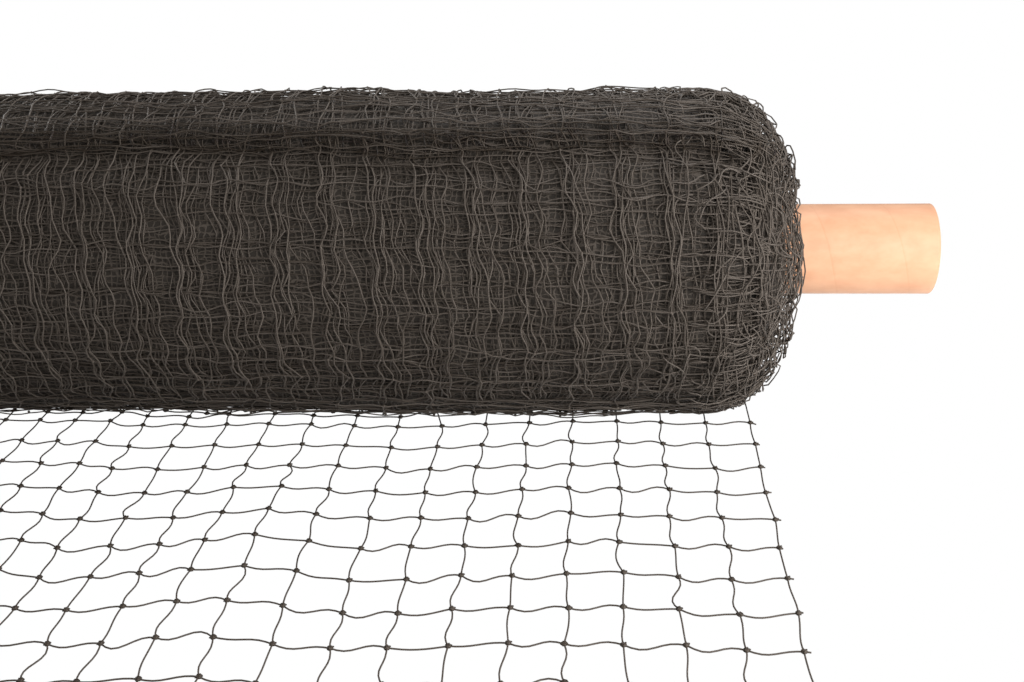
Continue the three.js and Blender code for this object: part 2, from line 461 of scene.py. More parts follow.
# %% Sweep a section along many twines
def twines(paths, across, tone, sides=4, thickness=TWINE, flat_caps=False):
    """Round twines along rows of points, closed at both ends. Flat caps have points of their own."""
    rows, steps = paths.shape[:2]
    ahead = np.gradient(paths, axis=1)
    ahead /= np.linalg.norm(ahead, axis=2, keepdims=True)
    # The section is set up from across, which may be any direction that no twine takes.
    left = np.cross(np.asarray(across, float), ahead)
    left /= np.linalg.norm(left, axis=2, keepdims=True)
    up = np.cross(ahead, left)
    turn = 2 * math.pi * np.arange(sides)[:, None] / sides
    ring = np.cos(turn) * left[:, :, None] + np.sin(turn) * up[:, :, None]
    points = (paths[:, :, None] + thickness / 2 * ring).reshape(-1, 3)
    index = np.arange(rows * steps * sides).reshape(rows, steps, sides)
    after = np.roll(index, -1, axis=2)
    walls = np.stack([index[:, :-1], after[:, :-1], after[:, 1:], index[:, 1:]], axis=-1)
    length = np.linalg.norm(np.diff(paths, axis=1), axis=2).cumsum(axis=1)
    length = np.concatenate([np.zeros((rows, 1)), length], axis=1) / TWIST_PITCH
    u = np.broadcast_to(length[:, :, None], (rows, steps, sides))
    v = np.broadcast_to(np.arange(sides) / sides, (rows, steps, sides))
    near = np.stack([u, v], axis=-1)
    far = np.stack([u, v + 1 / sides], axis=-1)
    uvs = np.stack([near[:, :-1], far[:, :-1], far[:, 1:], near[:, 1:]], axis=-2).reshape(-1, 2)
    tones = np.repeat(np.broadcast_to(tone, (rows, steps)).reshape(-1), sides)
    caps = np.concatenate([index[:, 0, ::-1], index[:, -1]])
    if flat_caps:
        points = np.concatenate([points, points[caps.ravel()]])
        tones = np.concatenate([tones, tones[caps.ravel()]])
        caps = index.size + np.arange(caps.size).reshape(caps.shape)
    uvs = np.concatenate([uvs, np.zeros((caps.size, 2))])
    return points, [walls.reshape(-1, 4), caps], uvs, tones


sample = twines(np.array([[(0, 0, 0), (MESH, 0, 0)]], float), (0, 0, 1), 0.0)
print("points of one straight bar:", len(sample[0]))

# %% Copy a ball to many knots
def beads(centres, size, tone):
    """Small balls, one at each centre, as copies of one icosphere stretched to the size"""
    ball = bmesh.new()
    bmesh.ops.create_icosphere(ball, subdivisions=1, radius=1)
    shape = np.array([vertex.co for vertex in ball.verts])
    corners = np.array([[vertex.index for vertex in face.verts] for face in ball.faces])
    ball.free()
    points = centres[:, None] + shape * np.asarray(size).reshape(-1, 1, 3)
    faces = corners + len(shape) * np.arange(len(centres))[:, None, None]
    tones = np.broadcast_to(np.reshape(tone, (-1, 1)), points.shape[:2]).reshape(-1)
    return points.reshape(-1, 3), [faces.reshape(-1, 3)], np.zeros((faces.size, 2)), tones


print("faces of one bead:", len(beads(np.zeros((1, 3)), (1, 1, 1), 0)[1][0]))

# %% Join twines and knots into a piece
def net_piece(name, bundles):
    """One object from many bundles of twines and beads"""
    faces = []
    first = 0
    for points, blocks, _, _ in bundles:
        for block in blocks:
            faces.extend((block + first).tolist())
        first += len(points)
    mesh = bpy.data.meshes.new(name)
    mesh.from_pydata(np.concatenate([bundle[0] for bundle in bundles]), [], faces)
    uvs = np.concatenate([bundle[2] for bundle in bundles]).astype(np.float32)
    mesh.uv_layers.new(name="twine").uv.foreach_set("vector", uvs.ravel())
    tones = np.concatenate([bundle[3] for bundle in bundles]).astype(np.float32)
    mesh.attributes.new("tone", "FLOAT", "POINT").data.foreach_set("value", tones)
    print(f"{name}: {sum(len(face) - 2 for face in faces)} triangles")
    return smooth_object(name, mesh, [BLACK_TWINE])


# %% Noise, smooth curves and slack
def soft_noise(shape, reach):
    """Random values that change slowly from one mesh to the next, with a mean of 0 and a spread of 1"""
    values = chance.standard_normal(shape)
    for axis, width in enumerate(reach):
        offsets = np.arange(-math.ceil(3 * width), math.ceil(3 * width) + 1)
        weights = np.exp(-0.5 * (offsets / width) ** 2)
        values = np.apply_along_axis(np.convolve, axis, values, weights, "same")
    return (values - values.mean()) / values.std()


def through(knots, steps, smooth=1.0):
    """Rows of points through rows of knots, with steps for each mesh. Smooth is 0 for straight bars."""
    first = 2 * knots[:, :1] - knots[:, 1:2]
    last = 2 * knots[:, -1:] - knots[:, -2:-1]
    padded = np.concatenate([first, knots, last], axis=1)[:, :, None]
    a, b, c, d = (padded[:, i:padded.shape[1] - 3 + i] for i in range(4))
    t = (np.arange(steps) / steps)[:, None]
    bend = (2 * a - 5 * b + 4 * c - d) * t**2 + (3 * b - a - 3 * c + d) * t**3
    curve = smooth * (2 * b + (c - a) * t + bend) / 2 + (1 - smooth) * (b + (c - b) * t)
    return np.concatenate([curve.reshape(len(knots), -1, 3), knots[:, -1:]], axis=1)


def slack(rows, meshes, steps, bow, wave):
    """How far twines stray between their knots: a bow to one side and a wave, each a mean and a spread"""
    t = np.arange(steps) / steps
    bows = chance.normal(*bow, (rows, meshes, 1)) * np.sin(math.pi * t)
    waves = chance.normal(*wave, (rows, meshes, 1)) * np.sin(2 * math.pi * t)
    stray = (bows + waves).reshape(rows, -1)
    return np.concatenate([stray, np.zeros((rows, 1))], axis=1)


print("points through 3 knots with 4 steps for each mesh:", through(np.zeros((1, 3, 3)), 4).shape[1])

# %% [markdown]
# ## The wound turns
#
# The net is one long strip. A pattern painted on a cylinder would look flat at its edges, so the roll
# is wound as the real one is: from the floor under the roll, up the back, over the top and down the
# front, turn under turn. The knots are laid out flat first, by column and row, then pushed about by
# slow noise, because a loose net never winds evenly. Only then is the strip wrapped round the measured
# form. More than a dozen turns show between the twines, so that many are made.

# %% Lay out the strip
TURNS = 15
TURN_STEP = 0.00032
ROOT_WAY = -0.010
MEAN_RADIUS = ROLL_RADIUS - TURNS * TURN_STEP / 2
ROWS = int(TURNS * 2 * math.pi * MEAN_RADIUS / MESH)
FIRM_ROWS = 5
SIDE_SHIFT = MESH / 4
ROW_DRIFT = 0.002
ROW_STRETCH = 0.010
ROW_STRAY = 0.004
KNOT_DRIFT = 0.0036
KNOT_STRAY = 0.0028
KNOT_LIFT = 0.0007
KNOT_SINK = 0.0025


def row_noise(reach):
    """One slow random value for each row of the strip"""
    return soft_noise((ROWS,), (reach,))[:, None]


def strip_knots():
    """The knots of the strip by row and column: their run across the roll, way along it, and lift"""
    column = np.arange(MESHES_ACROSS + 1) - MESHES_ACROSS / 2
    row = np.arange(ROWS)[:, None]
    grid = (ROWS, MESHES_ACROSS + 1)
    free = ease(row / FIRM_ROWS)
    drift = SIDE_SHIFT * np.tanh(4 * row_noise(12)) + ROW_DRIFT * row_noise(4)
    stretch = 1 + free * ROW_STRETCH * row_noise(9)
    run = column * MESH * stretch + free * (drift + KNOT_DRIFT * soft_noise(grid, (0.5, 1.2)))
    stray = KNOT_STRAY * soft_noise(grid, (1.4, 2.8)) + ROW_STRAY * row_noise(1.0)
    way = ROOT_WAY + row * MESH + free * stray
    lift = free * (KNOT_LIFT - KNOT_SINK * np.abs(soft_noise(grid, (0.45, 0.6))))
    return np.stack(np.broadcast_arrays(run, way, lift), axis=-1)


KNOTS = strip_knots()
print("rows of meshes in the wound strip:", ROWS)

# %% [markdown]
# ## The lip over the long fold
#
# Along the upper front the net has slipped and bunched into a lip that hangs over a dark fold. It could
# be pushed into shape by hand, but thousands of twines have to follow it, so each is moved by how far
# it lies from the fold. The fold's line is found in the measured form, as its deepest angle. Close to
# it the rows are drawn together and the net above it swells out. From there up to the skyline the cross
# twines lie on top, so that it reads as a band of fine level lines, and they do the same low on the
# front. The fold and the lip's face above it also get painted shade in the twines' tone, less on the
# lip's lit edge.

# %% Find the fold
FOLD_FROM = math.radians(40)
FOLD_TO = math.radians(75)
FOLD_SMOOTH = 9
LIP_ABOVE_FOLD = math.radians(4)
UNDER_ROLL = math.radians(270)


def fold_path():
    """The angle of the deepest line of the long fold above the front, for each measured run"""
    inside = (ANGLE_GRID > FOLD_FROM) & (ANGLE_GRID < FOLD_TO)
    deepest = ANGLE_GRID[inside][FORM[:, inside].argmin(axis=1)]
    padded = np.pad(deepest, FOLD_SMOOTH // 2, "edge")
    return np.convolve(padded, np.ones(FOLD_SMOOTH) / FOLD_SMOOTH, "valid")


FOLD = fold_path()
print("the fold's lowest and highest angle:", np.degrees([FOLD.min(), FOLD.max()]).round(1))


def within_half_turn(angle):
    """The same angle, between half a turn back and half a turn on"""
    return np.mod(angle + math.pi, 2 * math.pi) - math.pi


def above_lip(strip):
    """The angle of points of the strip, and how far round the roll they lie above the edge of the lip"""
    angle = UNDER_ROLL - strip[..., 1] / MEAN_RADIUS
    lip = LIP_ABOVE_FOLD + np.interp(strip[..., 0], RUN_GRID, FOLD)
    return angle, MEAN_RADIUS * within_half_turn(angle - lip)


# %% Bands of level twine and of painted shade
FOLD_WIDTH = 0.011
FOLD_SOFT = 0.005
BAND_HEIGHT = 0.066
BAND_SOFT = 0.042
LOW_FRONT = math.radians(-62)
LOW_REACH = 0.5
LOW_SOFT = 0.25
SHADE_SOFT = 0.006
FACE_HEIGHT = 0.022
FACE_SOFT = 0.008
# The lip's lit edge: where it lies, how wide it is, and how much less painted shade it gets.
EDGE_HEIGHT = 0.001
EDGE_SPREAD = 0.002
EDGE_LIT_SHARE = 0.6


def level_band(strip):
    """1 where the cross twines lie on top: from the fold up over the lip, and low on the front"""
    angle, above = above_lip(strip)
    lip = ease((above + FOLD_WIDTH) / FOLD_SOFT) * ease((BAND_HEIGHT - above) / BAND_SOFT)
    from_low = np.abs(within_half_turn(angle - LOW_FRONT))
    return np.maximum(lip, ease((LOW_REACH - from_low) / LOW_SOFT))


def fold_shade(strip):
    """Painted shade: 1 from the fold up over the lip's face, where little light comes; less on its lit
    edge
    """
    _, above = above_lip(strip)
    edge = np.exp(-((above - EDGE_HEIGHT) / EDGE_SPREAD) ** 2)
    face = ease((above + FOLD_WIDTH) / SHADE_SOFT) * ease((FACE_HEIGHT - above) / FACE_SOFT)
    return face * (1 - EDGE_LIT_SHARE * edge)


print("share of the knots in the level bands:", level_band(KNOTS).mean().round(2))

# %% [markdown]
# ## How the wound net stands and slumps
#
# The outer twines stand a little off the roll, except where the net is drawn tight before the
# shoulders. The loose net has also slumped along the roll, so its twines are not straight: they lean
# over and come down the front in many small steps. Two small functions of the place on the roll give
# all of that, which is easier to adjust than a drawn curve for each twine.

# %% Stand out and slump
OUTER_RISE = 0.0019
TIGHT_FROM = 0.27
TIGHT_REACH = 0.06
TIGHT_SHARE = 0.8
EDGE_FLARE = 0.0024
FLARE_FROM = 0.01
FLARE_REACH = 0.05
SLUMP = 0.0070
SLUMP_FADE = 0.09
STEP_SIZE = 0.0014
STEPS_ROUND = 26
# The steps shift along the roll by the sum of two waves, each with its size, rate and start.
STEP_WAVES = ((2.0, 14, 0), (1.2, 31, 1))
FRONT_FROM = 0.35
FRONT_SOFT = 0.3


def outer_rise(run):
    """How far the outer twines stand out: least where they are drawn tight, just before the shoulders"""
    tight = ease((np.abs(run) - TIGHT_FROM) / TIGHT_REACH)
    flared = ease((np.abs(run) - STRAIGHT_HALF - FLARE_FROM) / FLARE_REACH)
    return OUTER_RISE * (1 - TIGHT_SHARE * tight) + EDGE_FLARE * flared


def slumped(run, angle):
    """How far the net has moved: right at the front and back, left above and below, with small steps"""
    held = 1 - ease((np.abs(run) - TIGHT_FROM) / SLUMP_FADE)
    shift = sum(size * np.sin(rate * run + start) for size, rate, start in STEP_WAVES)
    front = ease((np.cos(angle) - FRONT_FROM) / FRONT_SOFT)
    steps = np.sin(STEPS_ROUND * angle + shift) * front
    return held * (STEP_SIZE * steps + SLUMP * np.cos(2 * angle))


print("slump at the front of the middle:", slumped(0.0, 0.0).round(4))

# %% Wrap the strip round the roll
LIP_REACH = 0.024
LIP_GATHER = 0.55
LIP_OUT = 0.0042
LIP_EDGE = 0.0045
FOLD_IN = 0.0014


def off_floor(points, clear=TWINE / 2):
    """The points, none of them closer to the floor than half a twine or half a knot"""
    points[..., 2] = np.maximum(points[..., 2], clear)
    return points


def wrapped(strip):
    """The strip wound round the roll, turn under turn"""
    turns = np.maximum(strip[..., 1], 0) / (2 * math.pi * MEAN_RADIUS)
    angle, above = above_lip(strip)
    run = strip[..., 0] + slumped(strip[..., 0], angle)
    near = np.exp(-(above / LIP_REACH) ** 2)
    angle = angle - LIP_GATHER * above * near / MEAN_RADIUS
    overhang = near * np.where(above > 0, LIP_OUT, FOLD_IN) * np.tanh(above / LIP_EDGE)
    depth = TWINE / 2 + turns * TURN_STEP - strip[..., 2] - outer_rise(run) - overhang
    return off_floor(on_roll(run, angle, depth))


print("highest wound knot:", wrapped(KNOTS)[..., 2].max().round(4))

# %% Loops and tones of the wound twines
LOOP_HEIGHTS = (0.0010, 0.0026)
LOOP_SHARE = 0.03


def stray_loops(shape, steps):
    """Here and there a slack twine stands off the roll in a low arch"""
    t = np.arange(steps) / steps
    rise = chance.uniform(*LOOP_HEIGHTS, shape) * (chance.random(shape) < LOOP_SHARE)
    arch = (rise[..., None] * np.sin(math.pi * t)).reshape(shape[0], -1)
    return np.concatenate([arch, np.zeros((shape[0], 1))], axis=1)


def mesh_tones(rows, meshes, steps, low, high):
    """A tone for each bar between two knots, spread over its points"""
    tones = np.repeat(chance.uniform(low, high, (rows, meshes)), steps, axis=1)
    return np.concatenate([tones, tones[:, -1:]], axis=1)


# %% Wind the twines
ALONG_TWINE = 0.0010
CROSS_TWINE = 0.0009
ALONG_SECTION = (1, 0, 0)
CROSS_SECTION = (0, 0.6, 0.8)
WOUND_SMOOTH = 0.3
# Slack sideways and outwards: a bow and a wave, each with its mean and its spread.
ALONG_SIDEWAYS = ((0, 0.0010), (0, 0.0008))
ALONG_OUTWARDS = ((0.0002, 0.0006), (0, 0.0004))
CROSS_SIDEWAYS = ((0, 0.0013), (0, 0.0009))
CROSS_OUTWARDS = ((-0.0009, 0.0006), (0, 0.0004))
ALONG_SINKS = 0.0014
CROSS_RISES = 0.0009
ALONG_TONES = (-0.1, 0.45)
CROSS_TONES = (-0.2, 0.45)
# Painted shade in the tones: on twines that lie under others, the lengthwise ones in the level bands and
# the cross ones outside them, and on all twines from the fold up over the lip's face.
ALONG_SHADE = 0.38
CROSS_SHADE = 0.16
FOLD_SHADE = 0.72


def wound_bundles(first, last, sides, steps, darker):
    """Lengthwise and cross twines between two rows of the strip"""
    part = KNOTS[first:last + 1]
    along = through(part.transpose(1, 0, 2), steps, WOUND_SMOOTH)
    cross = through(part[:-1], steps, WOUND_SMOOTH)
    along_size = (len(along), last - first)
    cross_size = (len(cross), MESHES_ACROSS)
    along[..., 0] += slack(*along_size, steps, *ALONG_SIDEWAYS)
    along[..., 2] += slack(*along_size, steps, *ALONG_OUTWARDS)
    cross[..., 1] += slack(*cross_size, steps, *CROSS_SIDEWAYS)
    cross[..., 2] += slack(*cross_size, steps, *CROSS_OUTWARDS)
    if first == 0:
        along[..., 2] += stray_loops(along_size, steps)
        cross[..., 2] += stray_loops(cross_size, steps)
    along_level = level_band(along)
    cross_level = level_band(cross)
    along[..., 2] -= ALONG_SINKS * along_level
    cross[..., 2] += CROSS_RISES * cross_level
    along_shade = darker + ALONG_SHADE * along_level + FOLD_SHADE * fold_shade(along)
    cross_shade = darker + CROSS_SHADE * (1 - cross_level) + FOLD_SHADE * fold_shade(cross)
    along_tone = mesh_tones(*along_size, steps, *ALONG_TONES) - along_shade
    cross_tone = mesh_tones(*cross_size, steps, *CROSS_TONES) - cross_shade
    return [
        twines(wrapped(along), ALONG_SECTION, along_tone, sides, ALONG_TWINE),
        twines(wrapped(cross), CROSS_SECTION, cross_tone, sides, CROSS_TWINE),
    ]


# %% Make the pieces of the wound strip
# For each piece of the strip: sides of a twine, and steps for each mesh. Deeper pieces need fewer.
PIECE_DETAIL = [(5, 6), (4, 5), (3, 5), (3, 5), (3, 4), (3, 3)]
# Painted shade: each deeper piece is darker by this much more.
DEEPER_SHADE = 0.05
WOUND_KNOT = 0.0010
WOUND_KNOT_TONES = (0, 0.3)

cuts = np.linspace(0, ROWS - 1, len(PIECE_DETAIL) + 1).astype(int)
turn_pieces = []
for number, (sides, steps) in enumerate(PIECE_DETAIL):
    bundles = wound_bundles(cuts[number], cuts[number + 1], sides, steps, DEEPER_SHADE * number)
    turn_pieces.append(net_piece(f"net_turns_{number + 1}", bundles))
outer_knots = KNOTS[:cuts[1]].reshape(-1, 3)
knot_places = off_floor(wrapped(outer_knots), WOUND_KNOT)
# The knots from the fold up over the lip's face get the same painted shade as the twines.
knot_tones = chance.uniform(*WOUND_KNOT_TONES, len(outer_knots)) - FOLD_SHADE * fold_shade(outer_knots)
knot_beads = beads(knot_places, [WOUND_KNOT] * 3, knot_tones)
turn_pieces.append(net_piece("net_turn_knots", [knot_beads]))

# %% [markdown]
# ## The dark heart of the roll
#
# Deeper turns cannot be told apart: between the outer twines one only sees darkness with a hint of more
# twine. The roll could be left hollow there, but then light would come through it. A plain body stands
# for the deeper turns, spun from the roll's profile just under the modelled ones, then moved to the
# measured form. Its inner wall clears the tube, and its finish is a hint of wavy lines both ways, in
# colours darker than the twine's: painted shade of the deep gaps between the turns.

# %% Finish of the heart
# Darker than the twine's own colours: painted shade of the deep gaps.
DEEP_DARK = (0.017, 0.0133, 0.0100, 1)
DEEP_LIGHT = (0.048, 0.0386, 0.0309, 1)
DEEP_LINES = (0.75, 0.95)


def deep_lines(tree, place, direction):
    """Narrow wavy lines in one direction"""
    wave = tree.nodes.new("ShaderNodeTexWave")
    wave.bands_direction = direction
    wave.inputs["Scale"].default_value = 80.0
    wave.inputs["Distortion"].default_value = 6.0
    wave.inputs["Detail"].default_value = 2.0
    wave.inputs["Detail Scale"].default_value = 1.5
    tree.links.new(place, wave.inputs["Vector"])
    return ranged(tree, wave.outputs["Fac"], *DEEP_LINES)


def deep_net_material():
    """Deeper twines as dark wavy lines both ways, on the heart's own UV map: black twine and painted
    shade
    """
    material, tree, shader = new_material("deep_net", roughness=0.7, shine=0.2)
    place = tree.nodes.new("ShaderNodeUVMap")
    place.uv_map = "net"
    lines = [deep_lines(tree, place.outputs["UV"], direction) for direction in ("X", "Y")]
    both = maths(tree, "MAXIMUM", *lines)
    two_colours(tree, shader, both, DEEP_DARK, DEEP_LIGHT)
    relief(tree, shader, both, 0.6, 0.001)
    return material


DEEP_NET = deep_net_material()
print("made the finish", DEEP_NET.name)

# %% Spin and unroll
def spun(body, outline, steps):
    """An outline in the plane of the tube's axis, spun once round it"""
    bmesh.ops.spin(
        body, geom=outline, cent=(0, 0, TUBE_AXIS), axis=(1, 0, 0), dvec=(0, 0, 0),
        angle=2 * math.pi, steps=steps, use_merge=True)


def unroll(body, name, place):
    """A UV map for a spun shape. Each corner's turn is taken on the same lap as its face's."""
    layer = body.loops.layers.uv.new(name)
    for face in body.faces:
        middle = face.calc_center_median()
        lap = math.atan2(middle.z - TUBE_AXIS, -middle.y)
        for corner in face.loops:
            turn = math.atan2(corner.vert.co.z - TUBE_AXIS, -corner.vert.co.y)
            turn = lap + (turn - lap + math.pi) % (2 * math.pi) - math.pi
            corner[layer].uv = place(corner.vert, turn)


# %% Heart
HEART_DEPTH = 0.0044
HEART_END_DEPTH = 0.0034
HEART_SIDES = 120
HEART_RUNS = 90
HEART_CLEAR = 0.003
LOOSE_REACH = 0.10
PRESSED_FROM = 0.6
PRESSED_SOFT = 0.25
PRESSED_SHARE = 0.35


def heart_depth(run, turn):
    """How deep the heart lies: deeper at the loose ends, less where the turns are pressed underneath"""
    loose = ease((np.abs(run) - TIGHT_FROM) / LOOSE_REACH)
    pressed = ease((-np.sin(turn) - PRESSED_FROM) / PRESSED_SOFT) * (1 - loose)
    return HEART_DEPTH * (1 - PRESSED_SHARE * pressed) + HEART_END_DEPTH * loose


def heart_outline(body):
    """A closed loop in the plane of the axis: along the roll's profile, then back along the tube"""
    run_of = body.verts.layers.float.new("run")
    loop = []
    for run in np.linspace(-PROFILE_HALF, PROFILE_HALF, HEART_RUNS):
        x, radius, out_x, out_radius = profile(run)
        depth = heart_depth(run, 0)
        vertex = body.verts.new((x - depth * out_x, -(radius - depth * out_radius), TUBE_AXIS))
        vertex[run_of] = run
        loop.append(vertex)
    edges = [body.edges.new((loop[k - 1], loop[k])) for k in range(len(loop))]
    return loop + edges, run_of


def heart_piece():
    body = bmesh.new()
    outline, run_of = heart_outline(body)
    spun(body, outline, HEART_SIDES)
    for vertex in body.verts:
        turn = math.atan2(vertex.co.z - TUBE_AXIS, -vertex.co.y)
        run = np.array(vertex[run_of])
        vertex.co = on_roll(run, np.array(turn), heart_depth(run, turn))
        vertex.co.z = max(vertex.co.z, HEART_CLEAR)
    unroll(body, "net", lambda vertex, turn: (vertex[run_of], turn * ROLL_RADIUS))
    bmesh.ops.recalc_face_normals(body, faces=body.faces)
    return object_from("net_heart", body, [DEEP_NET])


heart = heart_piece()

# %% [markdown]
# ## The ends of the roll
#
# At each end the edges of all the turns show, one inside the other, from the tube to the shoulder. A
# flat disc with a pattern would do from afar, but its outline would be hard. Here every edge is a ring
# of slack twine with knots, held by short twines that run back between the turns. The rings stand out
# by different amounts and sag into loops, so the end looks like lace against the light.

# %% Edges of the inner turns
EDGE_RINGS = 38
EDGE_STEPS = 7
EDGE_OVERLAP = 0.018
FEWEST_KNOTS = 6
SETS_OFF = 0.0014
RING_UNEVEN = 0.18
RING_DEPTH = 0.0028
RING_STRAY = 0.0040
RING_OUTWARDS = ((0.0010, 0.0028), (0, 0.0020))
RING_SIDEWAYS = ((0, 0.0042), (0, 0.0030))
RING_HIGHEST = 0.0045


def edge_ring(side, share):
    """One edge: its knots round the end, by run, angle and depth"""
    run = side * (PROFILE_HALF - share * (PROFILE_HALF - NET_WIDTH / 2 + EDGE_OVERLAP))
    _, radius, _, _ = profile(np.array(run))
    count = max(int(2 * math.pi * radius / MESH), FEWEST_KNOTS)
    first = chance.uniform(0, 2 * math.pi)
    place = np.arange(count) + chance.normal(0, RING_UNEVEN, count)
    turn = first - place * 2 * math.pi / count
    depth = np.abs(chance.normal(0, RING_DEPTH, count)) + SETS_OFF - outer_rise(run)
    return np.stack([run + chance.normal(0, RING_STRAY, count), turn, depth], axis=-1)


def ring_loop(knots):
    """A closed ring of slack twine through the knots of an edge"""
    again = knots[:1] - np.array([0, 2 * math.pi, 0])
    loop = through(np.concatenate([knots, again])[None], EDGE_STEPS)
    loop[..., 2] -= slack(1, len(knots), EDGE_STEPS, *RING_OUTWARDS)
    loop[..., 0] += slack(1, len(knots), EDGE_STEPS, *RING_SIDEWAYS)
    return off_floor(on_roll(loop[..., 0], loop[..., 1], np.maximum(loop[..., 2], -RING_HIGHEST)))


# %% Join the edges to the roll
ON_SHOULDER = 0.55
BACK_STEPS = 4
BACK_LENGTH = 0.028
BACK_TURN = 0.02
BACK_SINK = 0.001
BACK_SWAY = 0.0016
BACK_TONES = (0.10, 0.75)
RING_TONES = (-0.05, 0.55)
RING_SECTION = (0.9, 0.3, 0.3)


def twines_back(side, share, knots):
    """Short twines from the knots back between the turns: along the shoulder, or straight into the end"""
    t = np.linspace(0, 1, BACK_STEPS + 1)
    if share > ON_SHOULDER:
        run = knots[:, :1] - side * MESH * t
        back = on_roll(run, knots[:, 1:2] + BACK_TURN * t, knots[:, 2:] + BACK_SINK * t)
    else:
        back = on_roll(*knots.T)[:, None] - t[:, None] * np.array([side * BACK_LENGTH, 0, 0])
    sway = chance.normal(0, BACK_SWAY, (len(knots), 1, 3)) * np.sin(math.pi * t)[:, None]
    return off_floor(back + sway)


def ring_bundles(side, share):
    """One edge: its ring, and a knot and a short twine back at each mesh"""
    knots = edge_ring(side, share)
    loop = ring_loop(knots)
    back = twines_back(side, share, knots)
    loop_tone = chance.uniform(*RING_TONES, (1, 1))
    back_tone = chance.uniform(*BACK_TONES, (len(knots), 1))
    knot_tone = chance.uniform(*WOUND_KNOT_TONES, len(knots))
    return [
        twines(loop, RING_SECTION, loop_tone, 4, ALONG_TWINE),
        twines(back, CROSS_SECTION, back_tone, 4, CROSS_TWINE),
        beads(off_floor(on_roll(*knots.T), WOUND_KNOT), [WOUND_KNOT] * 3, knot_tone),
    ]


# %% Slack loops over the ends
CURLS = 380
CURL_STEPS = 7
CURL_REACH = 0.128
CURL_BEND = 1.3
CURL_WAVE = 0.5
CURL_LENGTHS = (0.014, 0.032)
CURL_ARCH = 0.0022
CURL_DEPTH = 0.0016
CURL_SECTION = (0.5, 0.6, 0.62)


def curl_bundle(side):
    """Short slack loops of the edges, lying every way over the shoulder and the end"""
    each = (CURLS, 1)
    run = side * (PROFILE_HALF - CURL_REACH * np.sqrt(chance.random(each)))
    turn = chance.uniform(0, 2 * math.pi, each)
    t = np.linspace(0, 1, CURL_STEPS + 1)
    bend = chance.normal(0, CURL_BEND, each) * t
    bend = bend + chance.normal(0, CURL_WAVE, each) * np.sin(2 * math.pi * t)
    heading = chance.uniform(0, 2 * math.pi, each) + bend
    step = chance.uniform(*CURL_LENGTHS, each) / CURL_STEPS
    _, radius, _, _ = profile(run)
    run = run + np.cumsum(np.cos(heading), axis=1) * step
    turn = turn + np.cumsum(np.sin(heading), axis=1) * step / radius
    arch = chance.uniform(0, CURL_ARCH, each) * np.sin(math.pi * t)
    depth = np.abs(chance.normal(0, CURL_DEPTH, each)) + SETS_OFF - outer_rise(run) - arch
    tone = chance.uniform(*BACK_TONES, each)
    return twines(off_floor(on_roll(run, turn, depth)), CURL_SECTION, tone, 4, CROSS_TWINE)


end_pieces = []
for name, side in (("net_end_right", 1), ("net_end_left", -1)):
    bundles = [curl_bundle(side)]
    for ring in range(EDGE_RINGS):
        bundles += ring_bundles(side, (ring + chance.uniform(0.1, 0.9)) / EDGE_RINGS)
    end_pieces.append(net_piece(name, bundles))

# %% [markdown]
# ## The free end on the floor
#
# Here every twine shows against the white floor. The knots could be set out on a plain grid, but then
# the net would look ironed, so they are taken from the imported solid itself: its corners gather in small
# groups, one group to a knot. Each bar between two knots keeps the lazy S of twine that has lain on a
# roll, and each knot is a small wrap of twine round a bead.

# %% Find the knots of the free end
SKEW = math.tan(math.radians(1.1))
FIRST_ROW = -0.0425
KNOT_HEIGHT = 0.0012
KNOT_GROUP = 0.004


def laid_knots():
    """The knots by row and column. From the right edge on, each is sought one mesh left of the last."""
    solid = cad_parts["loose_net"].data
    corners = np.array([vertex.co for vertex in solid.vertices])
    knots = np.zeros((MESHES_ALONG + 1, MESHES_ACROSS + 1, 3))
    for row in range(MESHES_ALONG + 1):
        x, y = NET_WIDTH / 2, FIRST_ROW - MESH * row
        for column in range(MESHES_ACROSS, -1, -1):
            near = corners[np.argmin(np.hypot(corners[:, 0] - x, corners[:, 1] - y))]
            group = np.hypot(corners[:, 0] - near[0], corners[:, 1] - near[1]) < KNOT_GROUP
            knots[row, column] = corners[group].mean(axis=0)
            x, y = knots[row, column, :2] - (MESH, SKEW * MESH)
    knots[..., 2] = KNOT_HEIGHT
    return knots


laid = laid_knots()
print("rows and columns of knots found in the solid:", laid.shape[:2])

# %% Knots of the slipped row
SLIPPED_COLUMNS = 19
SLIPPED_BACK = 0.0125
SLIPPED_TO_ROLL = 0.012
SLIPPED_SPREAD = (0.002, 0.0012, 0.0012)
PROPPED_BY = (0.4 * MESH, 0.0030, 0.0016)
PROPPED_SPREAD = 0.0008


def slipped_knots():
    """On the left the cross twine next to the roll has slipped out from under it, and lies in front"""
    back = SLIPPED_BACK + SLIPPED_TO_ROLL * ease(np.arange(SLIPPED_COLUMNS) - SLIPPED_COLUMNS + 2)
    y = laid[0, :SLIPPED_COLUMNS, 1] + back + chance.normal(0, SLIPPED_SPREAD[1], SLIPPED_COLUMNS)
    x = laid[0, :SLIPPED_COLUMNS, 0] + chance.normal(0, SLIPPED_SPREAD[0], SLIPPED_COLUMNS)
    z = KNOT_HEIGHT + chance.uniform(0, SLIPPED_SPREAD[2], SLIPPED_COLUMNS)
    return np.stack([x, y, z], axis=-1)


slipped = slipped_knots()
propped = slipped[:-1] + PROPPED_BY + chance.normal(0, PROPPED_SPREAD, (SLIPPED_COLUMNS - 1, 3))
print("knots of the slipped row:", len(slipped), "and propped on the roll above it:", len(propped))

# %% Bars on the floor
BAR_STEPS = 8
# Slack of the bars: a bow and a wave, each with its mean and its spread.
ACROSS_SLACK = ((-0.0004, 0.0012), (-0.0016, 0.0009))
DOWN_SLACK = ((-0.0008, 0.0010), (0.0006, 0.0007))
EDGE_SHARE = 0.25


